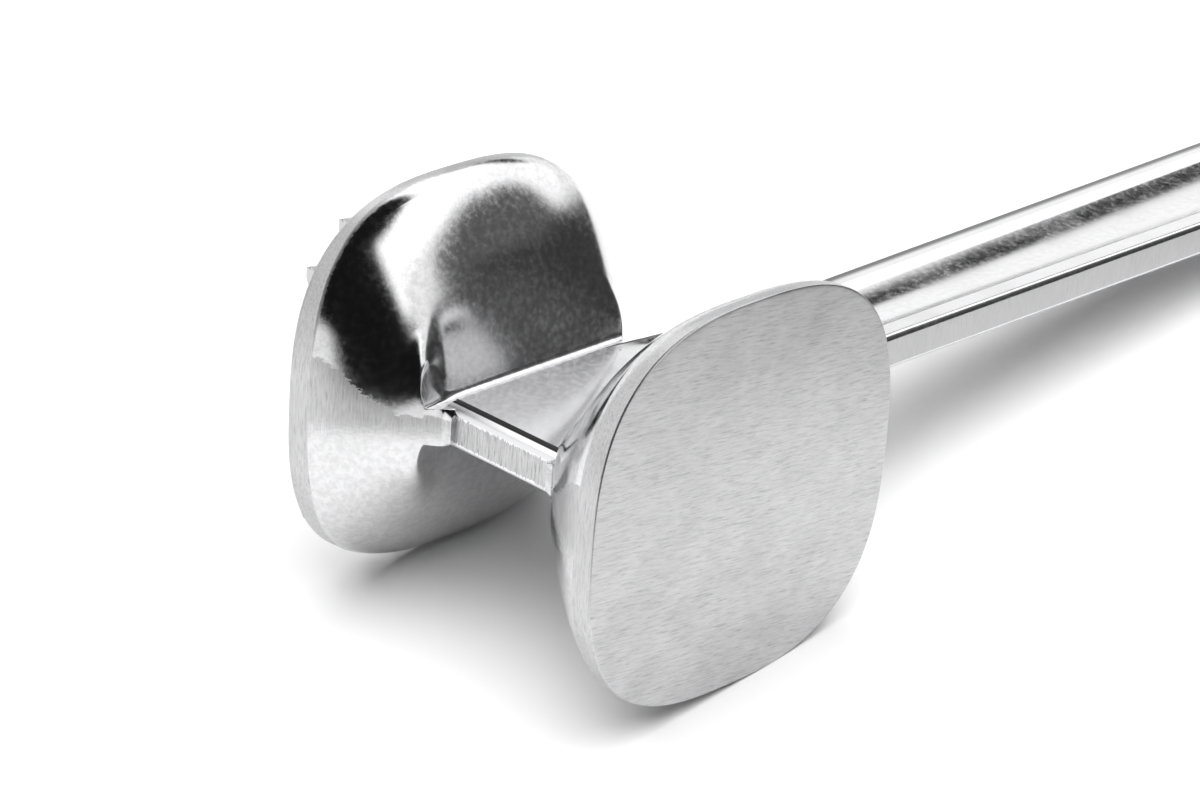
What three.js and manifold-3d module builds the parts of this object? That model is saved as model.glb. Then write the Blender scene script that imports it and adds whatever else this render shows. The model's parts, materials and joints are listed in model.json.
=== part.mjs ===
// Double-faced meat mallet, cast in aluminium in one piece.
// Two domed heads stand back to back on a flat bar. One carries a ground flat face, the other a
// grid of blunt pyramid teeth. The bar runs on as an I-section handle and ends in a hanging eye.
// Each region of the casting with its own shape and finish is one mesh.
//
// The tool is drawn square in its own axes: +X along the handle, -Y out of the smooth face,
// +Y out of the toothed face, +Z up through the thin side of the bar. It is then laid down as it
// rests on a table, on both head rims and the tip of the handle, with its box centred over the
// origin. Millimetres throughout.

import * as THREE from 'three';
import { mergeVertices } from 'three/addons/utils/BufferGeometryUtils.js';
import Module from 'manifold-3d';

const GAP = 0.3; // left between neighbouring regions

// Striking heads
const FACE_HALF_WIDTH = 29;
const FACE_HALF_HEIGHT = 28.7;
const FACE_CORNER = 2.75; // superellipse exponent of the face outline
const FACE_Y = 29.6; // face plane to mid-plane
const LAND_Y = 25.9; // where the ground rim land begins, past the dome
const LAND_HALF_WIDTH = 28.62;
const CROWN_Y = 28.8; // the top and bottom run on from the dome and level out here
const CROWN_DROP = 0.8;
const EDGE_BREAK = 0.3;

// Domes, from the bar out to the rim land
const ROOT_Y = 12.8;
const ROOT_HALF_WIDTH = 19.4;
const ROOT_HALF_HEIGHT = 2.8;
const ROOT_CORNER = 7; // the root is a rounded rectangle, like the bar it grows from
const TURN_SHARE = 0.3; // share of the dome over which the outline turns into the face's
const FULL_Y = 27.45; // where the dome's curve would reach the full face outline
const WIDTH_BULGE = { power: 1.44, root: 1 };
const HEIGHT_BULGE = { power: 1.6, root: 1.3 };
const DOME_STEPS = 14;
const RING_POINTS = 72;

// Teeth
const TOOTH_ROWS = 9;
const TOOTH_PITCH = 5.7;
const TOOTH_HEIGHT = 3.4;
const TOOTH_ROOT = 4.7; // across the flats
const TOOTH_TIP = 1.8;
const TOOTH_TIP_BREAK = 0.45;
const TOOTH_SINK = 0.6; // how far a tooth is rooted in the plate

// Bar and handle
const BAR_FRONT_X = -16.6;
const BAR_HALF_THICKNESS = 2.8;
const NECK_HALF_WIDTH = 12.1; // between the heads
const NECK_END_X = 17;
const FLARE_END_X = 36; // where the neck has narrowed to the bar
const BAR_HALF_WIDTH = 10.3;
const WAIST_X = 55;
const GRIP_HALF_WIDTH = 12.2; // at the eye
const EYE_START_X = 186;
const END_X = 211;
const RAIL_START_X = 14; // where the rails come out of the domes
const RAIL_START_WIDTH = 0.8;
const RAIL_FULL_X = 45; // where the rails reach their full width
const RAIL_TOP_WIDTH = 3.3;
const FRONT_EDGE_WIDTH = 3;
const FRONT_BEAD_HALF = 3.15; // half thickness over the bead that runs along the front edge
const RAIL_EDGE_RADIUS = 0.8;
const NECK_WEB_HALF = 2.8; // half thickness of the flat web between the heads
const WEB_EDGE_HALF = 2.0; // and of the dished web of the handle, where it meets a rail
const WEB_CENTRE_HALF = 1.1;
const EYE_HOLE_RADIUS = 5;
const EYE_HOLE_X = END_X - GRIP_HALF_WIDTH;
const EYE_EDGE_BREAK = 0.6;

const wasm = await Module();
wasm.setup();

// Geometry helpers -----------------------------------------------------------------------------

/** A closed body through rings of equal point count, with a flat fan over each end. */
function loft(rings) {
  const count = rings[0].length;
  const positions = rings.flat().flatMap((p) => [p.x, p.y, p.z]);
  const index = [];
  for (let r = 0; r + 1 < rings.length; r += 1) {
    for (let i = 0; i < count; i += 1) {
      const a = r * count + i;
      const b = r * count + ((i + 1) % count);
      index.push(a, b, b + count, a, b + count, a + count);
    }
  }
  const last = (rings.length - 1) * count;
  for (const [start, flip] of [[0, true], [last, false]]) {
    const ring = rings[start === 0 ? 0 : rings.length - 1];
    const centre = ring.reduce((sum, p) => sum.add(p), new THREE.Vector3()).divideScalar(count);
    const hub = positions.length / 3;
    positions.push(centre.x, centre.y, centre.z);
    for (let i = 0; i < count; i += 1) {
      const a = start + i;
      const b = start + ((i + 1) % count);
      index.push(hub, flip ? b : a, flip ? a : b);
    }
  }
  const geometry = new THREE.BufferGeometry();
  geometry.setAttribute('position', new THREE.Float32BufferAttribute(positions, 3));
  geometry.setIndex(index);
  return faceOutwards(geometry);
}

/** Turns every face over when the body's signed volume is negative. */
function faceOutwards(geometry) {
  const position = geometry.getAttribute('position');
  const index = geometry.getIndex().array;
  const [a, b, c] = [new THREE.Vector3(), new THREE.Vector3(), new THREE.Vector3()];
  let volume = 0;
  for (let i = 0; i < index.length; i += 3) {
    a.fromBufferAttribute(position, index[i]);
    b.fromBufferAttribute(position, index[i + 1]);
    c.fromBufferAttribute(position, index[i + 2]);
    volume += a.dot(b.cross(c));
  }
  if (volume < 0) {
    for (let i = 0; i < index.length; i += 3) {
      [index[i], index[i + 1]] = [index[i + 1], index[i]];
    }
  }
  return geometry;
}

/** Superellipse ring in the plane Y = y, evenly stepped in angle. */
function superellipseRing(y, halfWidth, halfHeight, corner, count = RING_POINTS) {
  const ring = [];
  for (let i = 0; i < count; i += 1) {
    const angle = (2 * Math.PI * i) / count;
    const [c, s] = [Math.cos(angle), Math.sin(angle)];
    const reach = (Math.abs(c) ** corner + Math.abs(s) ** corner) ** (-1 / corner);
    ring.push(new THREE.Vector3(halfWidth * reach * c, y, halfHeight * reach * s));
  }
  return ring;
}

function toManifold(geometry) {
  const bare = geometry.clone();
  bare.deleteAttribute('normal');
  bare.deleteAttribute('uv');
  const merged = mergeVertices(bare, 1e-4);
  return new wasm.Manifold(new wasm.Mesh({
    numProp: 3,
    vertProperties: new Float32Array(merged.getAttribute('position').array),
    triVerts: new Uint32Array(merged.getIndex().array),
  }));
}

function fromManifold(solid) {
  const mesh = solid.getMesh();
  const geometry = new THREE.BufferGeometry();
  geometry.setAttribute('position', new THREE.BufferAttribute(mesh.vertProperties, 3));
  geometry.setIndex(new THREE.BufferAttribute(mesh.triVerts, 1));
  return geometry;
}

function piece(name, geometry, color, roughness) {
  const material = new THREE.MeshStandardMaterial({ color, roughness, metalness: 1 });
  const mesh = new THREE.Mesh(geometry, material);
  mesh.name = name;
  return mesh;
}

// Heads ----------------------------------------------------------------------------------------

/** How far a dome has opened, 0 at the bar to 1 at the face, a share t of the way out. */
function bulge(t, { power, root }) {
  return (1 - (1 - t) ** power) ** (1 / root);
}

/** Outline of a dome at a distance y from the mid-plane, on side -1 or +1 of it. */
function domeRing(side, y) {
  const t = (y - ROOT_Y) / (FULL_Y - ROOT_Y);
  const turned = THREE.MathUtils.smoothstep(t, 0, TURN_SHARE);
  return superellipseRing(
    side * y,
    THREE.MathUtils.lerp(ROOT_HALF_WIDTH, FACE_HALF_WIDTH, bulge(t, WIDTH_BULGE)),
    THREE.MathUtils.lerp(ROOT_HALF_HEIGHT, FACE_HALF_HEIGHT, bulge(t, HEIGHT_BULGE)),
    1 / THREE.MathUtils.lerp(1 / ROOT_CORNER, 1 / FACE_CORNER, turned),
  );
}

/** A domed head body, its rings closest together near the bar, where it opens fastest. */
function domeGeometry(side) {
  const rings = [];
  const top = LAND_Y - GAP / 2;
  for (let i = 0; i <= DOME_STEPS; i += 1) {
    rings.push(domeRing(side, ROOT_Y + (top - ROOT_Y) * (i / DOME_STEPS) ** 1.5));
  }
  return loft(rings);
}

/** Outline of a face plate behind its face: ground to a draft at the sides, crowned above. */
function rimRing(side, y) {
  const ground = (y - LAND_Y) / (FACE_Y - LAND_Y);
  const crown = Math.max(CROWN_Y - y, 0) / (CROWN_Y - LAND_Y);
  return superellipseRing(
    side * y,
    THREE.MathUtils.lerp(LAND_HALF_WIDTH, FACE_HALF_WIDTH, ground),
    FACE_HALF_HEIGHT - CROWN_DROP * crown ** 2,
    FACE_CORNER,
  );
}

/** The striking plate, with a broken face edge. */
function facePlate(side) {
  return loft([
    ...[LAND_Y + GAP / 2, 27.4, CROWN_Y, FACE_Y - EDGE_BREAK].map((y) => rimRing(side, y)),
    superellipseRing(
      side * FACE_Y,
      FACE_HALF_WIDTH - EDGE_BREAK,
      FACE_HALF_HEIGHT - EDGE_BREAK,
      FACE_CORNER,
    ),
  ]);
}

/** One blunt four-sided tooth standing on the plane Y = FACE_Y. */
function toothGeometry() {
  const acrossCorners = Math.SQRT1_2;
  const profile = [
    [0, -TOOTH_SINK],
    [TOOTH_ROOT, -TOOTH_SINK],
    [TOOTH_ROOT, 0],
    [TOOTH_TIP, TOOTH_HEIGHT - TOOTH_TIP_BREAK],
    [TOOTH_TIP - 2 * TOOTH_TIP_BREAK, TOOTH_HEIGHT],
    [0, TOOTH_HEIGHT],
  ].map(([across, height]) => new THREE.Vector2(across * acrossCorners, height));
  const tooth = new THREE.LatheGeometry(profile, 4);
  tooth.rotateY(Math.PI / 4);
  return tooth;
}

/** Square grid of tooth places, without its four corners, which the rounded face cuts off. */
function toothPlaces() {
  const middle = (TOOTH_ROWS - 1) / 2;
  const places = [];
  for (let row = -middle; row <= middle; row += 1) {
    for (let column = -middle; column <= middle; column += 1) {
      if (Math.abs(row) + Math.abs(column) < 2 * middle) {
        places.push([column * TOOTH_PITCH, row * TOOTH_PITCH]);
      }
    }
  }
  return places;
}

/** The plate and its teeth, trimmed where a root's corner would overhang the face edge. */
function toothedFaceGeometry() {
  const [width, height] = [FACE_HALF_WIDTH - EDGE_BREAK, FACE_HALF_HEIGHT - EDGE_BREAK];
  const trim = toManifold(loft([
    superellipseRing(FACE_Y - TOOTH_SINK - EDGE_BREAK, width, height, FACE_CORNER),
    superellipseRing(FACE_Y + TOOTH_HEIGHT + EDGE_BREAK, width, height, FACE_CORNER),
  ]));
  const tooth = toothGeometry();
  let solid = toManifold(facePlate(1));
  for (const [x, z] of toothPlaces()) {
    const placed = toManifold(tooth.clone().translate(x, FACE_Y, z));
    solid = solid.add(placed.intersect(trim));
  }
  return fromManifold(solid);
}

// Bar and handle -------------------------------------------------------------------------------

function halfWidthAt(x) {
  if (x < WAIST_X) {
    const narrowed = THREE.MathUtils.smoothstep(x, NECK_END_X, FLARE_END_X);
    return THREE.MathUtils.lerp(NECK_HALF_WIDTH, BAR_HALF_WIDTH, narrowed);
  }
  const along = (x - WAIST_X) / (EYE_START_X - WAIST_X);
  return THREE.MathUtils.lerp(BAR_HALF_WIDTH, GRIP_HALF_WIDTH, along);
}

/** Places along the handle where the rails' and the web's sections are drawn. */
function stations(...starts) {
  const places = [...starts];
  for (let x = RAIL_START_X + 4; x < RAIL_FULL_X; x += 4) {
    places.push(x);
  }
  for (let x = RAIL_FULL_X; x < EYE_START_X - GAP; x += 12) {
    places.push(x);
  }
  return [...places, EYE_START_X - GAP];
}

/** A body along X whose section, a list of [y, z], may change from station to station. */
function alongHandle(places, sectionAt) {
  return loft(places.map((x) => sectionAt(x).map(([y, z]) => new THREE.Vector3(x, y, z))));
}

/** Width of a rail's top: it tapers away towards the heads, where the dish opens out. */
function railWidthAt(x) {
  const grown = THREE.MathUtils.clamp((x - RAIL_START_X) / (RAIL_FULL_X - RAIL_START_X), 0, 1);
  return THREE.MathUtils.lerp(RAIL_START_WIDTH, RAIL_TOP_WIDTH, Math.sin((Math.PI / 2) * grown));
}

/** Rounded-edge rail section, its outer side at the bar's half width. */
function railSection(side, x) {
  const outer = halfWidthAt(x);
  const inner = outer - railWidthAt(x);
  const [top, radius] = [BAR_HALF_THICKNESS, RAIL_EDGE_RADIUS];
  const upper = [[inner, WEB_EDGE_HALF], [inner, top]];
  for (let i = 0; i <= 3; i += 1) {
    const angle = (Math.PI / 2) * (1 - i / 3);
    upper.push([
      outer - radius + (radius - 1e-3) * Math.cos(angle),
      top - radius + radius * Math.sin(angle),
    ]);
  }
  const lower = upper.map(([y, z]) => [y, -z]).reverse();
  return [...upper, ...lower].map(([y, z]) => [side * y, z]);
}

/** Web of the bar: flat and full width between the heads, thinner and dished along the handle. */
function webSection(x) {
  const besideRails = x >= RAIL_START_X - GAP;
  const reach = besideRails ? halfWidthAt(x) - railWidthAt(x) - GAP : NECK_HALF_WIDTH;
  const thinned = THREE.MathUtils.smoothstep(x, RAIL_START_X - 2 * GAP, RAIL_FULL_X);
  const centre = THREE.MathUtils.lerp(NECK_WEB_HALF, WEB_CENTRE_HALF, thinned);
  const edge = THREE.MathUtils.lerp(NECK_WEB_HALF, WEB_EDGE_HALF, thinned);
  const steps = 10;
  const upper = [];
  for (let i = 0; i <= steps; i += 1) {
    const share = (2 * i) / steps - 1;
    upper.push([share * reach, THREE.MathUtils.lerp(centre, edge, share * share)]);
  }
  return [...upper, ...upper.map(([y, z]) => [y, -z]).reverse()];
}

/** The ground front edge of the bar, between the heads, with a low bead along its top and bottom. */
function frontEdgeGeometry() {
  const back = BAR_FRONT_X + FRONT_EDGE_WIDTH;
  const upper = [
    [BAR_FRONT_X, FRONT_BEAD_HALF - 1.2],
    [BAR_FRONT_X + 0.15, FRONT_BEAD_HALF - 0.8],
    [BAR_FRONT_X + 0.5, FRONT_BEAD_HALF - 0.45],
    [BAR_FRONT_X + 1.5, FRONT_BEAD_HALF - 0.03],
    [BAR_FRONT_X + 2, FRONT_BEAD_HALF],
    [back - 0.5, FRONT_BEAD_HALF - 0.2],
    [back, BAR_HALF_THICKNESS - 0.1],
  ];
  const section = [...upper, ...upper.map(([x, z]) => [x, -z]).reverse()];
  const ends = [-NECK_HALF_WIDTH, NECK_HALF_WIDTH];
  return loft(ends.map((y) => section.map(([x, z]) => new THREE.Vector3(x, y, z))));
}

/** The rounded end of the handle, full thickness, with the hole it hangs from. */
function eyeGeometry() {
  const outline = new THREE.Shape();
  const reach = GRIP_HALF_WIDTH - EYE_EDGE_BREAK;
  outline.moveTo(EYE_START_X, reach);
  outline.lineTo(EYE_START_X, -reach);
  outline.absarc(EYE_HOLE_X, 0, reach, -Math.PI / 2, Math.PI / 2, false);
  outline.closePath();
  const hole = new THREE.Path();
  hole.absarc(EYE_HOLE_X, 0, EYE_HOLE_RADIUS + EYE_EDGE_BREAK, 0, 2 * Math.PI, true);
  outline.holes.push(hole);
  const depth = 2 * (BAR_HALF_THICKNESS - EYE_EDGE_BREAK);
  const eye = new THREE.ExtrudeGeometry(outline, {
    depth,
    bevelEnabled: true,
    bevelThickness: EYE_EDGE_BREAK,
    bevelSize: EYE_EDGE_BREAK,
    bevelSegments: 2,
    curveSegments: 24,
  });
  eye.translate(EYE_EDGE_BREAK, 0, -depth / 2);
  return eye;
}

// Assembly -------------------------------------------------------------------------------------

const CAST = 0xc9cacc;
const GROUND = 0xbdbec0;

const railStations = stations(RAIL_START_X);
const webStations = stations(
  BAR_FRONT_X + FRONT_EDGE_WIDTH + GAP,
  RAIL_START_X - 2 * GAP,
  RAIL_START_X - GAP,
);

const tool = new THREE.Group();
tool.add(
  piece('smooth_face', facePlate(-1), GROUND, 0.38),
  piece('smooth_head_dome', domeGeometry(-1), CAST, 0.22),
  piece('toothed_face', toothedFaceGeometry(), CAST, 0.3),
  piece('toothed_head_dome', domeGeometry(1), CAST, 0.22),
  piece('front_edge', frontEdgeGeometry(), GROUND, 0.35),
  piece('handle_web', alongHandle(webStations, webSection), CAST, 0.18),
  piece('left_rail', alongHandle(railStations, (x) => railSection(1, x)), CAST, 0.25),
  piece('right_rail', alongHandle(railStations, (x) => railSection(-1, x)), CAST, 0.25),
  piece('hanging_eye', eyeGeometry(), CAST, 0.25),
);

// Resting pose ---------------------------------------------------------------------------------

/** Height of the face outline's centre above the table when the tool leans by an angle. */
function rimSupport(lean) {
  const dual = FACE_CORNER / (FACE_CORNER - 1);
  const along = (FACE_HALF_WIDTH * Math.sin(lean)) ** dual;
  const up = (FACE_HALF_HEIGHT * Math.cos(lean)) ** dual;
  return (along + up) ** (1 / dual);
}

/** Height of the same centre above the lowest point of the handle's rounded tip. */
function tipSupport(lean) {
  return END_X * Math.sin(lean) + BAR_HALF_THICKNESS * Math.cos(lean);
}

let lean = 0;
for (let step = 0; step < 60; step += 1) {
  lean += (rimSupport(lean) - tipSupport(lean)) / END_X;
}
tool.rotation.y = lean;
tool.updateMatrixWorld(true);

const box = new THREE.Box3().setFromObject(tool, true);
tool.position.set(-(box.min.x + box.max.x) / 2, -(box.min.y + box.max.y) / 2, -box.min.z);

export default tool;
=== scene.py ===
"""Cast-aluminium double-faced meat mallet: detailed pieces, finishes, studio and camera.

The shapes are worked out in the tool's own axes, in millimetres: +X along the handle, -Y out of
the smooth face, +Z up through the thin side of the bar. PLACE lays them down in the row frame.
"""

import json
import math

import bmesh
import bpy
import numpy as np
from mathutils import Matrix, Vector


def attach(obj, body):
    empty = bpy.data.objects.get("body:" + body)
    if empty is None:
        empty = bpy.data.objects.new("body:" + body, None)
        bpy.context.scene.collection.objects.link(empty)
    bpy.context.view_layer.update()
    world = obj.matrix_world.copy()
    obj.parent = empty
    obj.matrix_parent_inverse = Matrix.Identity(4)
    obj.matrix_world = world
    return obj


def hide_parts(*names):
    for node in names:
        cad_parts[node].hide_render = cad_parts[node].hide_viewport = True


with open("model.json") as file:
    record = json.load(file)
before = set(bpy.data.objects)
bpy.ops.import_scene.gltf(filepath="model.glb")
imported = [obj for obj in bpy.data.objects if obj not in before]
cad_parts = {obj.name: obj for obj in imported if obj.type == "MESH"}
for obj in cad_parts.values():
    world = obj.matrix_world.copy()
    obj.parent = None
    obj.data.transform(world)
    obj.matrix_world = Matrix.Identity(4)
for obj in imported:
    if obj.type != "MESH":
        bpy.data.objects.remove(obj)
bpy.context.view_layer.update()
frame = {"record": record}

MM = 0.001
TAU = 2 * math.pi

# The tool's axes in the row frame ---------------------------------------------------------------

mounts = {mount["name"]: mount for mount in frame["record"]["mounts"]}
eye_mount, face_mount = mounts["hanging_eye"], mounts["smooth_face"]
LEAN = math.asin(eye_mount["axis"][0])
ORIGIN = Vector((face_mount["pos_m"][0], eye_mount["pos_m"][1], face_mount["pos_m"][2]))
PLACE = Matrix.Translation(ORIGIN) @ Matrix.Rotation(LEAN, 4, "Y")

# Sizes, mm ----------------------------------------------------------------------------------------

# Heads. A corner is the power of a superellipse.
FACE_HALF_WIDTH, FACE_HALF_HEIGHT, FACE_CORNER = 29.0, 28.7, 2.75
FACE_Y, LAND_Y, LAND_HALF_WIDTH = 29.6, 25.9, 28.62  # the face, and the crease behind its rim
CROWN_END_Y, CROWN_DROP = 28.8, 0.815  # top and bottom of the rim, drawn in towards the crease
FACE_EDGE = 0.28
ROOT_Y, ROOT_HALF_WIDTH, ROOT_HALF_HEIGHT, ROOT_CORNER = 10.8, 17.35, 3.9, 9.0
FLARE_START_Y, FLARE_END_Y, FLARE_STEP, FLARE_RATE = 10.01, 11.5, 0.04, 0.396
ROOT_TAPER, TAPER_POWER = 0.9, 0.7  # how a dome thins below its root
FULL_Y, TURN_SHARE = 27.45, 0.35  # where a dome is as large as the face, how soon it has its corner
WIDTH_BULGE, HEIGHT_BULGE = (1.4, 1.12), (1.34, 1.26)  # powers in bulge()
# The recess that the flat neck cuts into a dome, and its flank towards the front
RECESS_Y, FILLET_RADIUS, WALL_SLOPE, WALL_BLEND = 13.4, 1.2, math.radians(76), 1.7
RECESS_FRONT_X, RECESS_RISE, RECESS_SOFTNESS = -14.6, 1.3, 0.7
# Teeth
TOOTH_ROWS, TOOTH_PITCH, TOOTH_HEIGHT = 9, 5.7, 3.4
TOOTH_ROOT, TOOTH_TIP, TOOTH_SOFTNESS = 4.7, 1.5, 0.16
# Bar
BAR_FRONT_X, FRONT_BACK_X, BEAD_RADIUS, BEAD_TOP = -16.6, -13.6, 1.0, 3.15
BAR_TOP, GROUND_HALF, EDGE_RADIUS, EDGE_SWEEP = 2.8, 2.0, 0.8, math.radians(70)
FRONT_HALF_WIDTH, NECK_HALF_WIDTH = 11.4, 12.1
NECK_END_X, FLARE_END_X = 17.0, 36.0
BAR_HALF_WIDTH, WAIST_X = 10.3, 55.0
# Handle
GRIP_HALF_WIDTH, EYE_START_X, END_X = 12.2, 186.0, 211.0
HOLE_RADIUS, HOLE_EDGE = 5.0, 0.6
HOLE_X = END_X - GRIP_HALF_WIDTH
RAIL_START_X, RAIL_FULL_X, RAIL_WIDTH = 14.0, 45.0, 3.3
DISH_CENTRE, DISH_EDGE, RAIL_FOOT, DISH_END = 1.15, 2.45, 1.6, 3.0

# Finishes -----------------------------------------------------------------------------------------


class Nodes:
    """Short names for building a node tree."""

    def __init__(self, tree):
        self.tree = tree
        tree.nodes.clear()

    def add(self, kind, inputs=None, **settings):
        node = self.tree.nodes.new(kind)
        for key, value in settings.items():
            setattr(node, key, value)
        for key, value in (inputs or {}).items():
            self.set(node.inputs[key], value)
        return node

    def set(self, socket, value):
        if isinstance(value, bpy.types.NodeSocket):
            self.tree.links.new(value, socket)
        else:
            socket.default_value = value

    def math(self, operation, *values):
        node = self.add("ShaderNodeMath", operation=operation)
        for socket, value in zip(node.inputs, values):
            self.set(socket, value)
        return node.outputs[0]

    def ramp(self, value, low, high):
        """Smoothly from 0 at low to 1 at high."""
        node = self.add("ShaderNodeMapRange", {"Value": value, "From Min": low, "From Max": high},
                        interpolation_type="SMOOTHSTEP")
        return node.outputs["Result"]

    def mix(self, factor, a, b):
        """Numbers mixed by a factor."""
        node = self.add("ShaderNodeMix", data_type="FLOAT")
        for socket, value in zip((node.inputs[0], node.inputs[2], node.inputs[3]), (factor, a, b)):
            self.set(socket, value)
        return node.outputs[0]

    def mix_colour(self, factor, a, b):
        node = self.add("ShaderNodeMix", data_type="RGBA")
        for socket, value in zip((node.inputs[0], node.inputs[6], node.inputs[7]), (factor, a, b)):
            self.set(socket, value)
        return node.outputs[2]

    def noise(self, vector, scale, detail=2.0, roughness=0.5, stretch=None, turn=0.0):
        """Noise over tool-axes millimetres; stretch is the size of a feature along each axis,
        after the axes are turned about Y."""
        if stretch:
            moved = self.add("ShaderNodeMapping", {"Vector": vector, "Scale": stretch,
                                                   "Rotation": (0, turn, 0)},
                             vector_type="TEXTURE")
            vector = moved.outputs[0]
        node = self.add("ShaderNodeTexNoise", {"Vector": vector, "Scale": scale,
                                               "Detail": detail, "Roughness": roughness})
        return node.outputs["Fac"]


def grey(value):
    """Colour of bare aluminium, a touch blue."""
    return (value, value, value * 1.012, 1.0)


def tool_coordinates(n):
    """The shaded point in the tool's axes, in millimetres, and its X, Y and Z."""
    where = n.add("ShaderNodeTexCoord").outputs["Object"]
    mapped = n.add("ShaderNodeMapping", {"Vector": where, "Location": ORIGIN,
                                         "Rotation": (0, LEAN, 0), "Scale": (MM, MM, MM)},
                   vector_type="TEXTURE").outputs[0]
    parts = n.add("ShaderNodeSeparateXYZ", {"Vector": mapped}).outputs
    return mapped, parts


def cast_look(n, point):
    """Colour, roughness and height of the tumbled casting."""
    blotch = n.noise(point, 0.11, 3.0)
    grain = n.noise(point, 1.0, 5.0, 0.7)
    fine = n.noise(point, 5.0, 2.0, 0.6)
    pit = n.ramp(fine, 0.66, 0.78)
    colour = n.mix_colour(n.ramp(grain, 0.36, 0.64), grey(0.59), grey(0.71))
    colour = n.mix_colour(n.math("MULTIPLY", pit, 0.4), colour, grey(0.40))
    rough = n.mix(n.ramp(blotch, 0.4, 0.65), 0.11, 0.15)
    rough = n.math("ADD", rough, n.math("MULTIPLY", n.ramp(grain, 0.42, 0.70), 0.07))
    height = n.math("ADD", grain, n.math("MULTIPLY", fine, 0.3))
    return colour, rough, height


def ground_look(n, point, stretch, turn=0.0, contrast=1.0):
    """Colour, roughness and height of a belt-ground surface with short fine strokes."""
    stroke = n.noise(point, 1.0, 4.0, 0.7, stretch, turn)
    haze = n.noise(point, 0.13, 4.0, 0.55)
    score = n.ramp(stroke, 0.42, 0.30)
    colour = n.mix_colour(n.ramp(haze, 0.35, 0.65), grey(0.52), grey(0.60))
    worn = n.mix_colour(0.28 * contrast, colour, grey(0.2))
    colour = n.mix_colour(n.ramp(stroke, 0.35, 0.62), worn, colour)
    colour = n.mix_colour(n.math("MULTIPLY", score, 0.5 * contrast), colour, grey(0.22))
    rough = n.mix(n.ramp(haze, 0.35, 0.65), 0.34, 0.42)
    return colour, rough, n.math("MULTIPLY", stroke, contrast)


def metal(name, look, bump_mm):
    """Metal material; look(n, point, parts) returns its colour, roughness and height."""
    material = bpy.data.materials.new(name)
    material.use_nodes = True
    n = Nodes(material.node_tree)
    point, parts = tool_coordinates(n)
    colour, rough, height = look(n, point, parts)
    bump = n.add("ShaderNodeBump", {"Height": height, "Strength": 1.0, "Distance": bump_mm * MM})
    shader = n.add("ShaderNodeBsdfPrincipled", {
        "Base Color": colour, "Metallic": 1.0, "Roughness": rough, "Normal": bump.outputs[0]})
    output = n.add("ShaderNodeOutputMaterial")
    n.tree.links.new(shader.outputs[0], output.inputs["Surface"])
    return material


def blend_looks(n, mask, first, second):
    """The first look where the mask is 0 and the second where it is 1."""
    return (n.mix_colour(mask, first[0], second[0]), n.mix(mask, first[1], second[1]),
            n.mix(mask, first[2], second[2]))


# Size of a grinding stroke along each axis, mm, and the tilt of the strokes on the smooth face.
ALONG_X = (2.4, 0.25, 0.18)
ALONG_Z = (0.22, 0.22, 2.4)
FACE_TURN = math.radians(6.0)
# Painted shade in the grooves behind the front edge: a near-black colour with its roughness and
# height.
GROOVE_SHADE_LOOK = (grey(0.03), 0.5, 0.0)
# The ground band round the front of a head: where it starts to widen, and the heights of its top
# and bottom there and at the rim, mm.
BAND_START_Y, BAND_TOP, BAND_BOTTOM = 14.0, (1.8, 8.6), (-1.8, -3.2)


def toned(n, look, share, tone, depth=1.0):
    """A look with a share of another grey in it, and its height scaled."""
    colour, rough, height = look
    return n.mix_colour(share, colour, grey(tone)), rough, n.math("MULTIPLY", height, depth)


def ragged(n, point, amount, scale=0.9, detail=3.0, roughness=0.6, stretch=(1, 1, 0.3)):
    """Uneven offset for the border of a finish, up to half the amount either way."""
    noise = n.noise(point, scale, detail, roughness, stretch)
    return n.math("MULTIPLY", n.math("SUBTRACT", noise, 0.5), amount)


def web_look(n, point, parts):
    """Bright casting, with painted shade in the groove behind the front edge."""
    groove = n.ramp(parts["X"], FRONT_BACK_X + 0.1, FRONT_BACK_X)
    return blend_looks(n, groove, toned(n, cast_look(n, point), 0.4, 0.9), GROOVE_SHADE_LOOK)


def dome_look(n, point, parts):
    """Casting with the parting line ground off round the front of the head."""
    z = n.math("ADD", parts["Z"], ragged(n, point, 3.0))
    spread = n.ramp(n.math("ABSOLUTE", parts["Y"]), BAND_START_Y, LAND_Y)
    top, bottom = n.mix(spread, *BAND_TOP), n.mix(spread, *BAND_BOTTOM)
    inside = n.math("MULTIPLY", n.ramp(n.math("SUBTRACT", top, z), 0.0, 0.5),
                    n.ramp(n.math("SUBTRACT", z, bottom), -1.5, 3.5))
    mask = n.math("MULTIPLY", inside, n.ramp(parts["X"], 1.0, -2.0))
    return blend_looks(n, mask, cast_look(n, point), ground_look(n, point, ALONG_Z))


def rim_look(n, point, parts):
    """Rim of a face plate: ground at the sides, where the land is, and cast above and below."""
    out = n.math("SUBTRACT", n.math("ABSOLUTE", parts["Y"]), LAND_Y)
    draft = (FACE_HALF_WIDTH - LAND_HALF_WIDTH) / (FACE_Y - LAND_Y)
    width = n.math("ADD", n.math("MULTIPLY", out, draft), LAND_HALF_WIDTH)
    across = n.math("DIVIDE", n.math("ABSOLUTE", parts["X"]), width)
    up = n.math("DIVIDE", n.math("ABSOLUTE", parts["Z"]), FACE_HALF_HEIGHT)
    reach = n.math("ADD", n.math("POWER", across, FACE_CORNER), n.math("POWER", up, FACE_CORNER))
    reach = n.math("ADD", reach, ragged(n, point, 0.02))
    return blend_looks(n, n.ramp(reach, 0.984, 0.998), cast_look(n, point),
                       ground_look(n, point, ALONG_Z))


def face_look(n, point, parts):
    """Face plate with a ground face."""
    on_face = n.ramp(n.math("ABSOLUTE", parts["Y"]), FACE_Y - 0.12, FACE_Y - 0.02)
    return blend_looks(n, on_face, rim_look(n, point, parts),
                       ground_look(n, point, ALONG_X, FACE_TURN))


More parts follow.
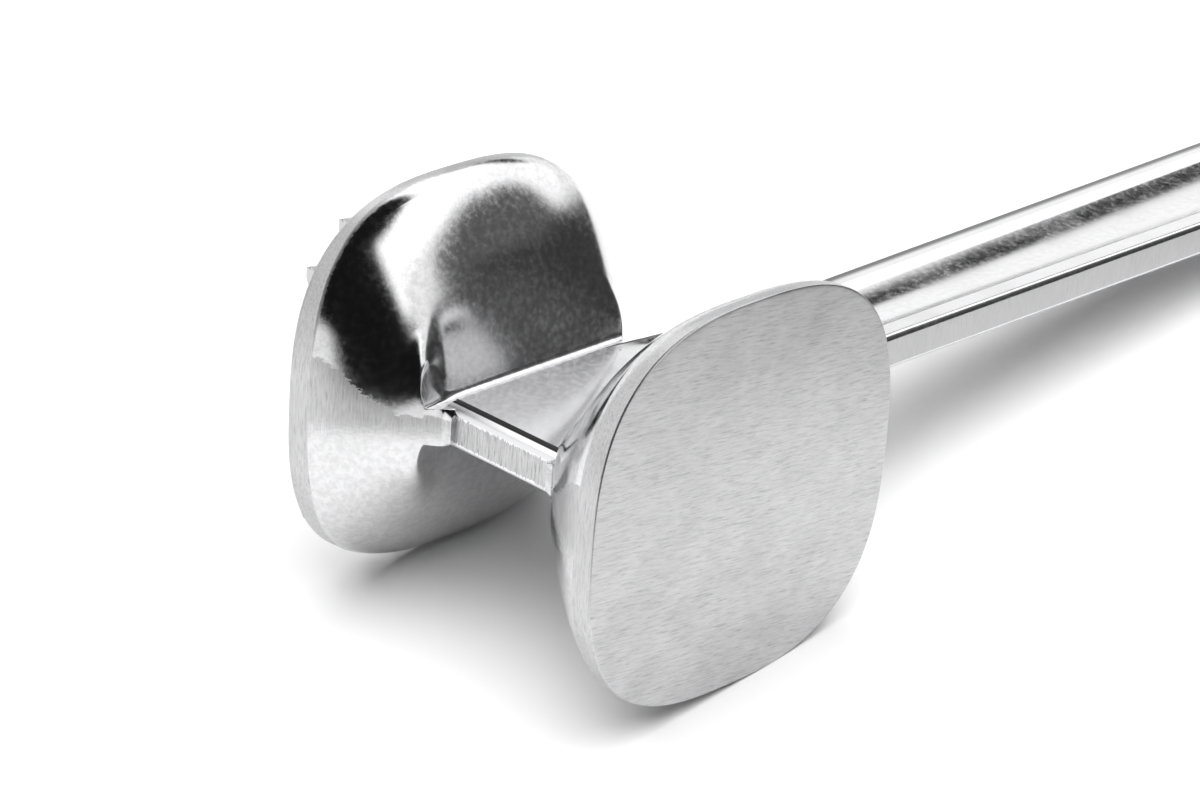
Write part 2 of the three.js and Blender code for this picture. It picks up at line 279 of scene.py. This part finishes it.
def toothed_look(n, point, parts):
    """Face plate with cast teeth, darker than the tumbled outside."""
    past_rim = n.ramp(parts["Y"], FACE_Y - 0.35, FACE_Y - 0.1)
    return blend_looks(n, past_rim, rim_look(n, point, parts),
                       toned(n, cast_look(n, point), 0.6, 0.25))


def rail_look(n, point, parts):
    """Bright cast bar with a painted dark reflection along the top edge of its +Y side, and its
    sides ground flat.
    """
    along = n.math("MAXIMUM", n.math("SUBTRACT", parts["X"], WAIST_X), 0.0)
    widening = (GRIP_HALF_WIDTH - BAR_HALF_WIDTH) / (EYE_START_X - WAIST_X)
    out = n.math("SUBTRACT", parts["Y"], n.math("MULTIPLY", along, widening))
    # Painted dark reflection on the rounded top edge of the +Y side only.
    edge = n.math("MULTIPLY", n.ramp(out, BAR_HALF_WIDTH - 2.4, BAR_HALF_WIDTH - 1.2),
                  n.ramp(parts["Z"], 0.0, 1.0))
    look = blend_looks(n, edge, toned(n, cast_look(n, point), 0.5, 0.9, 0.3),
                       (grey(0.15), 0.2, 0.0))
    low = n.ramp(n.math("ABSOLUTE", parts["Z"]), GROUND_HALF + 0.08, GROUND_HALF - 0.02)
    return blend_looks(n, low, look,
                       toned(n, ground_look(n, point, ALONG_Z, 0.0, 0.6), 0.35, 0.3))


def front_look(n, point, parts):
    """Ground flat with ragged edges, bright beads, and painted shade in the grooves behind them."""
    uneven = ragged(n, point, 1.6, 1.0, 4.0, 0.7, (0.25, 0.25, 1.5))
    low = n.ramp(n.math("ADD", n.math("ABSOLUTE", parts["Z"]), uneven), 2.0, 1.92)
    look = blend_looks(n, low, (grey(0.85), 0.34, 0.0),
                       ground_look(n, point, ALONG_Z, 0.0, 1.8))
    groove = n.ramp(parts["X"], FRONT_BACK_X - 1.75, FRONT_BACK_X - 1.6)
    return blend_looks(n, groove, look, GROOVE_SHADE_LOOK)


CAST_BUMP, WEB_BUMP, GROUND_BUMP = 0.007, 0.002, 0.008  # depth of the grain, mm
finishes = {
    "dome": metal("cast_aluminium_dome", dome_look, CAST_BUMP),
    "web": metal("cast_aluminium_web", web_look, WEB_BUMP),
    "face": metal("ground_aluminium_face", face_look, GROUND_BUMP),
    "teeth": metal("cast_aluminium_teeth", toothed_look, CAST_BUMP),
    "rail": metal("cast_aluminium_rail", rail_look, CAST_BUMP),
    "front": metal("ground_aluminium_front", front_look, GROUND_BUMP),
}

# Mesh helpers -------------------------------------------------------------------------------------


def new_mesh_object(name, points, faces):
    """Object from tool-axes millimetres, laid down in the row frame."""
    mesh = bpy.data.meshes.new(name)
    turned = np.asarray(PLACE.to_3x3()) @ (np.asarray(points, float).T * MM)
    placed = turned.T + np.asarray(ORIGIN)
    mesh.from_pydata(placed.tolist(), [], faces)
    mesh.validate()
    mesh.update()
    thing = bpy.data.objects.new(name, mesh)
    bpy.context.scene.collection.objects.link(thing)
    return thing


def outward(points, faces):
    """The faces turned so that the closed body's volume is positive."""
    points = np.asarray(points, float)
    volume = 0.0
    for face in faces:
        for i in range(1, len(face) - 1):
            a, b, c = points[face[0]], points[face[i]], points[face[i + 1]]
            volume += a @ np.cross(b, c)
    return faces if volume > 0 else [tuple(reversed(face)) for face in faces]


def loft(rings):
    """A closed body through rings of equal point count, capped with flat polygons."""
    count = len(rings[0])
    faces = []
    for r in range(len(rings) - 1):
        for i in range(count):
            a, b = r * count + i, r * count + (i + 1) % count
            faces.append((a, b, b + count, a + count))
    last = (len(rings) - 1) * count
    faces.append(tuple(range(count - 1, -1, -1)))
    faces.append(tuple(range(last, last + count)))
    points = np.concatenate(rings)
    return points, outward(points, faces)


def finish_piece(thing, node, material, sharp_degrees=28, weighted=False):
    """Shading, material and the frame's book-keeping for one visible piece."""
    mesh = thing.data
    mesh.materials.clear()
    mesh.materials.append(finishes[material])
    mesh.shade_smooth()
    mesh.set_sharp_from_angle(angle=math.radians(sharp_degrees))
    if weighted:
        modifier = thing.modifiers.new("even_normals", "WEIGHTED_NORMAL")
        modifier.keep_sharp = True
        modifier.weight = 100
    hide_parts(node)
    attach(thing, "root")


# Heads --------------------------------------------------------------------------------------------

RING = 384  # points round a ring
PLATE_STEPS = 24  # rings over a plate's rim
RIPPLE_MM = 0.006


def superellipse(y, half_width, half_height, corner):
    """One ring of points, at a distance y from the mid-plane."""
    angle = np.arange(RING) * TAU / RING
    c, s = np.cos(angle), np.sin(angle)
    reach = (np.abs(c) ** corner + np.abs(s) ** corner) ** (-1 / corner)
    return np.stack([half_width * reach * c, np.full(RING, y), half_height * reach * s], 1)


def smoothstep(t):
    """0 below 0, 1 above 1, and a smooth step between."""
    t = np.clip(t, 0, 1)
    return t * t * (3 - 2 * t)


def bulge(t, power, root):
    """From 0 to 1 on a convex curve."""
    return (1 - (1 - t) ** power) ** (1 / root)


def recess_height(y):
    """Height up a dome's inner side where the flat neck cuts into it: flush with the bar, then
    through a concave fillet into a steep wall."""
    across = FILLET_RADIUS * math.sin(WALL_SLOPE)
    along = min(max(y - RECESS_Y + across, 0.0), across)
    fillet = FILLET_RADIUS - math.sqrt(FILLET_RADIUS ** 2 - along ** 2)
    return BAR_TOP - 0.01 + fillet + max(y - RECESS_Y, 0.0) * math.tan(WALL_SLOPE)


def head_ring(side, y):
    """Outline of a head at a distance y from the mid-plane: a dome recessed by the neck, whose
    sides are ground to the rim land, and whose top and bottom run on smoothly to the face."""
    t = min(max(y - ROOT_Y, 0.0) / (FULL_Y - ROOT_Y), 1.0)
    turned = smoothstep(t / TURN_SHARE)
    corner = 1 / ((1 - turned) / ROOT_CORNER + turned / FACE_CORNER)
    half_width = ROOT_HALF_WIDTH + (FACE_HALF_WIDTH - ROOT_HALF_WIDTH) * bulge(t, *WIDTH_BULGE)
    if y < FLARE_END_Y:
        flare = FLARE_RATE * max(y - FLARE_START_Y, 0.0) ** 2
        half_width = ROOT_HALF_WIDTH + FLARE_STEP + flare
    half_height = (ROOT_HALF_HEIGHT
                   + (FACE_HALF_HEIGHT - ROOT_HALF_HEIGHT) * bulge(t, *HEIGHT_BULGE))
    if y < ROOT_Y:
        half_height -= ROOT_TAPER * (ROOT_Y - y) ** TAPER_POWER
    if y > LAND_Y:
        half_height = FACE_HALF_HEIGHT - CROWN_DROP * (max(CROWN_END_Y - y, 0.0)
                                                      / (CROWN_END_Y - LAND_Y)) ** 2
    dome = superellipse(side * y, half_width, half_height, corner)
    if y < LAND_Y - 2:
        z = np.abs(dome[:, 2])
        flank = np.logaddexp(0, (RECESS_FRONT_X - dome[:, 0]) / RECESS_SOFTNESS)
        flank *= RECESS_SOFTNESS * RECESS_RISE
        recess = recess_height(y) + flank * smoothstep((y - RECESS_Y + 1) / 1.6)
        rounding = WALL_BLEND * np.log1p(np.exp(-np.abs(z - recess) / WALL_BLEND))
        rounding *= smoothstep((z - 1.5) / 3) * smoothstep((y - 11) / 4)
        dome[:, 2] = np.sign(dome[:, 2]) * (np.minimum(z, recess) - rounding)
    land_width = LAND_HALF_WIDTH + (FACE_HALF_WIDTH - LAND_HALF_WIDTH) * (
        (y - LAND_Y) / (FACE_Y - LAND_Y))
    land = superellipse(side * y, land_width, FACE_HALF_HEIGHT, FACE_CORNER)
    nearer = np.hypot(land[:, 0], land[:, 2]) < np.hypot(dome[:, 0], dome[:, 2])
    return np.where((nearer & (y > LAND_Y - 0.01))[:, None], land, dome)


rng = np.random.default_rng(11)


def ripples(count, shortest, longest):
    """Directions and phases of a few long shallow waves, in radians per millimetre."""
    directions = rng.normal(size=(count, 3))
    directions /= np.linalg.norm(directions, axis=1)[:, None]
    lengths = rng.uniform(shortest, longest, count)
    return directions * (TAU / lengths)[:, None], rng.uniform(0, TAU, count)


def make_dome(name, side):
    """Dome, gently uneven as a tumbled casting is, its rings closer together over the fillet."""
    foot = np.linspace(FLARE_START_Y - 0.8, 12.2, 26)
    fillet = RECESS_Y - FILLET_RADIUS * (math.sin(WALL_SLOPE)
                                         - np.sin(WALL_SLOPE * np.arange(16) / 16))
    wall = RECESS_Y + (LAND_Y - RECESS_Y) * (np.arange(97) / 96) ** 1.5
    points, faces = loft([head_ring(side, float(y)) for y in (*foot, *fillet, *wall)])
    waves, phases = ripples(9, 9.0, 24.0)
    height = np.sin(points @ waves.T + phases).sum(1) * RIPPLE_MM
    away = np.abs(points[:, 1])
    fade = smoothstep((away - RECESS_Y) / 1.5) * smoothstep((LAND_Y - away) / 1.5)
    normal = points / np.array([1.0, 1e9, 1.0])
    normal /= np.maximum(np.linalg.norm(normal, axis=1), 1e-6)[:, None]
    points = points + normal * (height * fade)[:, None]
    return new_mesh_object(name, points, faces)


def face_ring(y, inset):
    """Outline of a face, drawn in by an inset."""
    return superellipse(y, FACE_HALF_WIDTH - inset, FACE_HALF_HEIGHT - inset, FACE_CORNER)


def rim_rings(side):
    """Rings of a face plate, from the crease at the rim land up to its rounded edge."""
    rise = FACE_Y - FACE_EDGE - LAND_Y
    return [head_ring(side, LAND_Y + rise * i / PLATE_STEPS) for i in range(PLATE_STEPS)]


def make_flat_face(name, side):
    """Plate with a rounded edge and a flat face."""
    rings = rim_rings(side)
    for i in range(7):
        angle = math.pi / 2 * i / 6
        rings.append(face_ring(side * (FACE_Y - FACE_EDGE * (1 - math.sin(angle))),
                               FACE_EDGE * (1 - math.cos(angle))))
    for share in (0.985, 0.95, 0.85, 0.7, 0.5, 0.3, 0.1):
        rings.append(superellipse(side * FACE_Y, (FACE_HALF_WIDTH - FACE_EDGE) * share,
                                  (FACE_HALF_HEIGHT - FACE_EDGE) * share, FACE_CORNER))
    return new_mesh_object(name, *loft(rings))


def tooth_lines():
    """Places across the toothed face where the slope of its teeth changes, and its two edges."""
    middle = (TOOTH_ROWS - 1) / 2
    half_root, half_tip = TOOTH_ROOT / 2, TOOTH_TIP / 2
    offsets = [-half_root - 0.35, -half_root - 0.12, -half_root, -half_root + 0.14,
               -half_root * 0.72, -half_root * 0.5, -half_tip - 0.2, -half_tip, -half_tip + 0.16,
               -half_tip + 0.4]
    offsets = offsets + [-o for o in reversed(offsets)]
    places = [(column - middle) * TOOTH_PITCH + o for column in range(TOOTH_ROWS)
              for o in offsets]
    edge = FACE_HALF_WIDTH + 1.0
    return np.array(sorted([-edge, *places, edge]))


def tooth_height(x, z):
    """Height of the teeth above the face plane, their edges and roots softened."""
    middle = (TOOTH_ROWS - 1) / 2
    column = np.clip(np.round(x / TOOTH_PITCH), -middle, middle)
    row = np.clip(np.round(z / TOOTH_PITCH), -middle, middle)
    across = np.maximum(np.abs(x - column * TOOTH_PITCH), np.abs(z - row * TOOTH_PITCH))
    half_root, half_tip = TOOTH_ROOT / 2, TOOTH_TIP / 2
    slope = TOOTH_HEIGHT / (half_root - half_tip)
    height = (half_root - across) * slope
    soft = TOOTH_SOFTNESS
    foot = 0.5 * soft * np.exp(-np.abs(height))
    height = 0.5 * (height + np.sqrt(height ** 2 + soft ** 2)) - foot
    top = TOOTH_HEIGHT - 0.02
    gap = top - height
    height = top - 0.5 * (gap + np.sqrt(gap ** 2 + soft ** 2))
    dropped = (np.abs(column) + np.abs(row)) >= 2 * middle
    return np.where(dropped, 0.0, np.maximum(height, 0.0))


def height_block(lines, height, base):
    """A closed block whose top is a height over a square grid of lines."""
    count = len(lines)
    x, z = np.meshgrid(lines, lines, indexing="ij")
    top = np.stack([x, height(x, z), z], 2).reshape(-1, 3)
    index = np.arange(count * count).reshape(count, count)
    faces = [(int(index[i, j]), int(index[i, j + 1]), int(index[i + 1, j + 1]),
              int(index[i + 1, j])) for i in range(count - 1) for j in range(count - 1)]
    border = [int(i) for i in (*index[:, 0], *index[-1, 1:], *index[-2::-1, -1],
                               *index[0, -2:0:-1])]
    below = top[border] * np.array([1, 0, 1]) + np.array([0, base, 0])
    lower = [len(top) + i for i in range(len(border))]
    for i in range(len(border)):
        faces.append((border[i - 1], border[i], lower[i], lower[i - 1]))
    faces.append(tuple(reversed(lower)))
    points = np.concatenate([top, below])
    return points, outward(points, faces)


def apply_modifiers(thing):
    """The object's modifiers baked into its mesh."""
    graph = bpy.context.evaluated_depsgraph_get()
    made = bpy.data.meshes.new_from_object(thing.evaluated_get(graph))
    thing.modifiers.clear()
    thing.data = made


def make_toothed_face(name):
    """Plate with rows of blunt teeth, trimmed to the face's outline."""
    block = new_mesh_object(name, *height_block(
        tooth_lines(), lambda x, z: FACE_Y + tooth_height(x, z), LAND_Y - 1.0))
    edge = ((FACE_Y - FACE_EDGE, 0.0), (FACE_Y - 0.18, 0.02), (FACE_Y - 0.06, 0.1),
            (FACE_Y + 0.02, 0.22), (FACE_Y + TOOTH_HEIGHT + 1, 0.34))
    outline = new_mesh_object("face_outline", *loft(
        rim_rings(1) + [face_ring(y, inset) for y, inset in edge]))
    modifier = block.modifiers.new("trim", "BOOLEAN")
    modifier.operation, modifier.solver, modifier.object = "INTERSECT", "EXACT", outline
    bpy.context.view_layer.update()
    apply_modifiers(block)
    bpy.data.objects.remove(outline, do_unlink=True)
    return block


finish_piece(make_flat_face("smooth_face_plate", -1), "smooth_face", "face",
             weighted=True)
finish_piece(make_dome("smooth_dome", -1), "smooth_head_dome", "dome")
finish_piece(make_dome("toothed_dome", 1), "toothed_head_dome", "dome")
finish_piece(make_toothed_face("toothed_face_plate"), "toothed_face", "teeth")

# Bar and handle -----------------------------------------------------------------------------------


def outer_half(x):
    """Half width of the bar: wide between the heads, narrow behind them, wider at the eye."""
    along = np.clip((x - WAIST_X) / (EYE_START_X - WAIST_X), 0, 1)
    flare = 1 - smoothstep((x - NECK_END_X) / (FLARE_END_X - NECK_END_X))
    return (BAR_HALF_WIDTH + (GRIP_HALF_WIDTH - BAR_HALF_WIDTH) * along
            + (NECK_HALF_WIDTH - BAR_HALF_WIDTH) * flare)


def inner_half(x):
    """Half width of the web between the rails, which taper away towards the heads."""
    grown = np.clip((x - RAIL_START_X) / (RAIL_FULL_X - RAIL_START_X), 0, 1)
    return outer_half(x) - RAIL_WIDTH * np.sin(math.pi / 2 * grown)


def trough_height(x, y):
    """Half thickness of the web: flush with the bar between the heads, and a dish with rounded
    rail feet and end along the handle."""
    half = inner_half(x)
    sunk = smoothstep((x - RAIL_START_X) / (RAIL_FULL_X - RAIL_START_X))
    centre = BAR_TOP + (DISH_CENTRE - BAR_TOP) * sunk
    edge = BAR_TOP + (DISH_EDGE - BAR_TOP) * sunk
    dish = centre + (edge - centre) * (y / half) ** 2
    side = np.clip(1 - (half - np.abs(y)) / RAIL_FOOT, 0, 1) ** 2
    side = side * smoothstep((x - RAIL_START_X) / 8)
    end = np.clip(1 - (EYE_START_X - x) / DISH_END, 0, 1) ** 2
    lift = 1 - (1 - side) * (1 - end)
    return dish + (BAR_TOP - dish) * lift


def make_web(name):
    """The web, both sides, as one closed body, its points closer together at the rails' feet and
    at the end of the dish."""
    close_x, close_y = DISH_END + 0.2, RAIL_FOOT + 0.1
    neck = np.linspace(FRONT_BACK_X - 0.3, RAIL_FULL_X + 1, 80)
    long_run = np.linspace(RAIL_FULL_X + 1, EYE_START_X - close_x, 58)[1:]
    end = EYE_START_X - close_x * (np.arange(15, -1, -1) / 16) ** 1.5
    xs = np.concatenate([neck, long_run, end])
    edge = close_y * (np.arange(13) / 12) ** 1.5
    middle = np.linspace(-1, 1, 45)[1:-1]
    rows = []
    for x in xs:
        half = float(inner_half(x))
        ys = np.concatenate([-half + edge, middle * (half - close_y), half - edge[::-1]])
        rows.append(np.stack([np.full_like(ys, x), ys, trough_height(x, ys)], 1))
    top = np.array(rows)
    nx, ny = top.shape[:2]
    bottom = top * np.array([1, 1, -1])
    index = np.arange(nx * ny).reshape(nx, ny)
    faces = []
    for i in range(nx - 1):
        for j in range(ny - 1):
            quad = [int(index[i, j]), int(index[i + 1, j]), int(index[i + 1, j + 1]),
                    int(index[i, j + 1])]
            faces.append(tuple(quad))
            faces.append(tuple(q + nx * ny for q in reversed(quad)))
    border = [*index[0, :], *index[1:, -1], *index[-1, -2::-1], *index[-2:0:-1, 0]]
    border = [int(i) for i in border]
    for i, a in enumerate(border):
        b = border[(i + 1) % len(border)]
        faces.append((a, b, b + nx * ny, a + nx * ny))
    points = np.concatenate([top.reshape(-1, 3), bottom.reshape(-1, 3)])
    return new_mesh_object(name, points, outward(points, faces))


def edge_arc():
    """Rounded edge from the flat top down to the ground side: inset from the side, and height."""
    angles = [EDGE_SWEEP * i / 8 for i in range(9)]
    reach = 1 - math.cos(angles[-1])
    width = math.sin(angles[-1])
    depth = BAR_TOP - GROUND_HALF
    return [(EDGE_RADIUS * (1 - math.sin(a) / width),
             BAR_TOP - depth * (1 - math.cos(a)) / reach) for a in angles]


def make_rail(name, side):
    """Raised side of the handle, growing out of the neck."""
    xs = np.concatenate([np.linspace(RAIL_START_X, RAIL_FULL_X + 1, 46),
                         np.linspace(RAIL_FULL_X + 1, EYE_START_X, 60)[1:]])
    rings = []
    for x in xs:
        outer, inner = float(outer_half(x)), float(inner_half(x))
        width = max(outer - inner, 0.05)
        inner = outer - width
        upper = [(inner, BAR_TOP), (inner + 0.04 * width, BAR_TOP), (inner + 0.5 * width, BAR_TOP)]
        upper += [(outer - min(inset, width * 0.9), z) for inset, z in edge_arc()]
        upper += [(outer, GROUND_HALF - 0.05)]
        section = upper + [(y, -z) for y, z in reversed(upper)]
        rings.append(np.array([(x, side * y, z) for y, z in section]))
    return new_mesh_object(name, *loft(rings))


def make_front(name):
    """Front edge of the bar: ground flat in front, with a low rounded bead along the top and the
    bottom, and a groove between it and the web."""
    upper = []
    for i in range(11):
        turn = math.radians(90 - 60 * i / 10)
        upper.append((BAR_FRONT_X + BEAD_RADIUS * (1 - math.sin(turn)),
                      BAR_TOP - 0.87 + BEAD_RADIUS * math.cos(turn)))
    upper += [(BAR_FRONT_X + reach, BEAD_TOP - drop) for reach, drop in (
        (0.8, 0.24), (1.1, 0.14), (1.4, 0.06), (1.6, 0.01), (1.8, 0.02), (2.1, 0.07), (2.5, 0.15),
        (2.9, 0.24), (3.0, 0.41))]
    section = upper + [(x, -z) for x, z in reversed(upper)]
    ys = np.linspace(-FRONT_HALF_WIDTH, FRONT_HALF_WIDTH, 25)
    rings = [np.array([(x, y, z) for x, z in section]) for y in ys]
    return new_mesh_object(name, *loft(rings))


def eye_loop():
    """Points round the eye's outline with the direction in which its edge is rounded."""
    loop = []
    for i in range(72):
        angle = -math.pi / 2 + math.pi * i / 72
        c, s = math.cos(angle), math.sin(angle)
        loop.append((HOLE_X + GRIP_HALF_WIDTH * c, GRIP_HALF_WIDTH * s, c, s))
    run = HOLE_X - EYE_START_X
    for i in range(13):
        loop.append((HOLE_X - run * i / 12, GRIP_HALF_WIDTH, 0, 1))
    inset = GRIP_HALF_WIDTH - EDGE_RADIUS
    for i in range(25):
        loop.append((EYE_START_X, inset * (1 - i / 12), 0, 0))
    for i in range(12):
        loop.append((EYE_START_X + run * i / 12, -GRIP_HALF_WIDTH, 0, -1))
    return loop


def make_eye(name):
    """Rounded end of the handle with its hole, as one grid closed both ways."""
    rings = []
    for px, py, nx, ny in eye_loop():
        angle = math.atan2(py, px - HOLE_X)
        c, s = math.cos(angle), math.sin(angle)
        upper = []
        for i in range(7):
            turn = math.pi / 2 * i / 6
            radius = HOLE_RADIUS + HOLE_EDGE * (1 - math.cos(turn))
            z = BAR_TOP - HOLE_EDGE * (1 - math.sin(turn))
            upper.append((HOLE_X + radius * c, radius * s, z))
        start = np.array(upper[-1])
        arc = edge_arc()
        stop = np.array((px - nx * arc[0][0], py - ny * arc[0][0], BAR_TOP))
        upper += [tuple(start + (stop - start) * share) for share in (0.04, 0.5, 0.96)]
        upper += [(px - nx * inset, py - ny * inset, z) for inset, z in arc]
        upper += [(px, py, GROUND_HALF - 0.05)]
        lower = [(x, y, -z) for x, y, z in reversed(upper)]
        rings.append(np.array(upper + lower))
    count, size = len(rings), len(rings[0])
    faces = []
    for r in range(count):
        for i in range(size):
            j, s = (i + 1) % size, (r + 1) % count
            faces.append((r * size + i, r * size + j, s * size + j, s * size + i))
    points = np.concatenate(rings)
    return new_mesh_object(name, points, outward(points, faces))


def weld(thing):
    """The object with its doubled points merged."""
    bm = bmesh.new()
    bm.from_mesh(thing.data)
    bmesh.ops.remove_doubles(bm, verts=bm.verts, dist=0.001 * MM)
    bm.to_mesh(thing.data)
    bm.free()
    return thing


finish_piece(make_front("front_edge_bar"), "front_edge", "front",
             weighted=True)
finish_piece(make_web("handle_trough"), "handle_web", "web", 40)
finish_piece(make_rail("left_handle_rail", 1), "left_rail", "rail",
             weighted=True)
finish_piece(make_rail("right_handle_rail", -1), "right_rail", "rail",
             weighted=True)
finish_piece(weld(make_eye("hanging_eye_end")), "hanging_eye", "rail",
             weighted=True)

# Studio -------------------------------------------------------------------------------------------

# Soft surroundings, as layers painted over each other: middle and half width in azimuth, its
# softness, lowest and highest elevation, their softness, and brightness. Degrees; azimuth 0 is
# +X and 90 is +Y.
SURROUNDINGS = (
    (65, 88, 14, -90, 20.5, 2.5, 1.5),
    (103, 50, 14, -90, 58, 8, 1.5),
    (170, 25, 12, -90, 12, 6, 1.4),
    (-5, 88, 14, 31, 58, 7, 2.3),
    (-2, 18, 8, 10, 40, 6, 1.9),
    (-70, 14, 12, -90, 40, 5, 1.5),
    (-38, 18, 8, -90, 36, 6, 0.16),
)
# Over them lies a dark panel with a slanting side: its soft top, how far its side leans for each
# degree up, that side's soft edge, its other side's, and its brightness.
SLANT_TOP, SLANT_LEAN, SLANT_EDGE, SLANT_END, SLANT_VALUE = (21, 13), 1.43, (9, 0), (-52, -46), 0.07
DARK = 0.012
# The table fades out towards these azimuths, between these distances from the heads, in metres.
FLOOR_HALF = 4.0
TABLE_EDGES = (-137, -60)
TABLE_FADE = (0.085, 0.17)


def make_world():
    """Surroundings that the metal mirrors, behind a plain white backdrop."""
    world = bpy.data.worlds.new("studio")
    bpy.context.scene.world = world
    world.use_nodes = True
    n = Nodes(world.node_tree)
    direction = n.add("ShaderNodeTexCoord").outputs["Generated"]
    parts = n.add("ShaderNodeSeparateXYZ", {"Vector": direction}).outputs
    azimuth = n.math("DEGREES", n.math("ARCTAN2", parts["Y"], parts["X"]))
    elevation = n.math("DEGREES", n.math("ARCSINE", parts["Z"]))
    light = DARK
    for middle, half, soft, low, high, blur, value in SURROUNDINGS:
        off = n.math("ABSOLUTE", n.math("WRAP", n.math("SUBTRACT", azimuth, middle), 180, -180))
        mask = n.ramp(off, half + soft / 2, half - soft / 2)
        mask = n.math("MULTIPLY", mask, n.ramp(elevation, low - blur / 2, low + blur / 2))
        mask = n.math("MULTIPLY", mask, n.ramp(elevation, high + blur / 2, high - blur / 2))
        light = n.mix(mask, light, value)
    slant = n.math("ADD", azimuth, n.math("MULTIPLY", elevation, SLANT_LEAN))
    mask = n.math("MULTIPLY", n.ramp(slant, *SLANT_EDGE), n.ramp(azimuth, *SLANT_END))
    mask = n.math("MULTIPLY", mask, n.ramp(elevation, *SLANT_TOP))
    light = n.mix(mask, light, SLANT_VALUE)
    seen = n.add("ShaderNodeLightPath").outputs["Is Camera Ray"]
    light = n.mix(seen, light, 1.0)
    background = n.add("ShaderNodeBackground", {"Strength": light})
    output = n.add("ShaderNodeOutputWorld")
    n.tree.links.new(background.outputs[0], output.inputs["Surface"])
    world.cycles_visibility.diffuse = False


def make_floor():
    """Pale table, which takes the shadows and fades into the white backdrop."""
    corners = [(x * FLOOR_HALF, y * FLOOR_HALF, 0) for x, y in ((-1, -1), (1, -1), (1, 1), (-1, 1))]
    mesh = bpy.data.meshes.new("floor")
    mesh.from_pydata(corners, [], [(0, 1, 2, 3)])
    floor = bpy.data.objects.new("floor", mesh)
    bpy.context.scene.collection.objects.link(floor)
    material = bpy.data.materials.new("pale_table")
    material.use_nodes = True
    n = Nodes(material.node_tree)
    parts = n.add("ShaderNodeSeparateXYZ", {
        "Vector": n.add("ShaderNodeTexCoord").outputs["Object"]}).outputs
    reach = None
    for azimuth in TABLE_EDGES:
        c, s = math.cos(math.radians(azimuth)), math.sin(math.radians(azimuth))
        x = n.math("MULTIPLY", n.math("SUBTRACT", parts["X"], ORIGIN.x), c)
        out = n.math("ADD", x, n.math("MULTIPLY", parts["Y"], s))
        reach = out if reach is None else n.math("MAXIMUM", reach, out)
    table = n.add("ShaderNodeBsdfDiffuse", {"Color": (0.9, 0.9, 0.9, 1)})
    beyond = n.add("ShaderNodeBsdfTransparent")
    mixed = n.add("ShaderNodeMixShader", {0: n.ramp(reach, *TABLE_FADE)})
    n.tree.links.new(table.outputs[0], mixed.inputs[1])
    n.tree.links.new(beyond.outputs[0], mixed.inputs[2])
    output = n.add("ShaderNodeOutputMaterial")
    n.tree.links.new(mixed.outputs[0], output.inputs["Surface"])
    mesh.materials.append(material)


def make_lamp(name, location, target, size, power):
    """Round lamp that lights the table and casts the shadows, and isn't mirrored in the metal."""
    lamp = bpy.data.lights.new(name, "AREA")
    lamp.shape, lamp.size, lamp.energy = "DISK", size, power
    thing = bpy.data.objects.new(name, lamp)
    thing.location = location
    thing.rotation_mode = "QUATERNION"
    thing.rotation_quaternion = (Vector(target) - Vector(location)).to_track_quat("-Z", "Y")
    thing.visible_glossy = False
    thing.visible_camera = False
    bpy.context.scene.collection.objects.link(thing)


make_world()
make_floor()
make_lamp("overhead", (-0.1, -0.15, 1.3), (-0.05, 0, 0), 2.4, 48.0)

# Camera -------------------------------------------------------------------------------------------

# Angles are in the tool's axes, distances in millimetres from the heads' centre.
AZIMUTH, ELEVATION, ROLL = map(math.radians, (-46.988, 24.502, 4.074))
DISTANCE, LENS, SENSOR_WIDTH = 555.1, 120.58, 36.0
RIGHT_OFFSET, UP_OFFSET = 1.635, 2.968


def make_camera():
    """Camera that looks at the heads from in front of the smooth face and above."""
    right = Vector((math.cos(AZIMUTH), math.sin(AZIMUTH), 0))
    back = Vector((math.sin(AZIMUTH) * math.cos(ELEVATION),
                   -math.cos(AZIMUTH) * math.cos(ELEVATION), math.sin(ELEVATION)))
    up = back.cross(right)
    right, up = (math.cos(ROLL) * right + math.sin(ROLL) * up,
                 math.cos(ROLL) * up - math.sin(ROLL) * right)
    place = (right * RIGHT_OFFSET + up * UP_OFFSET + back * DISTANCE) * MM
    camera = bpy.data.objects.new("camera", bpy.data.cameras.new("camera"))
    camera.data.lens = LENS
    camera.data.sensor_width = SENSOR_WIDTH
    camera.data.clip_start, camera.data.clip_end = 0.01, 50.0
    rotation = Matrix((right, up, back)).transposed().to_4x4()
    camera.matrix_world = PLACE @ Matrix.Translation(place) @ rotation
    bpy.context.scene.collection.objects.link(camera)
    bpy.context.scene.camera = camera


make_camera()
bpy.context.scene.view_settings.view_transform = "Standard"
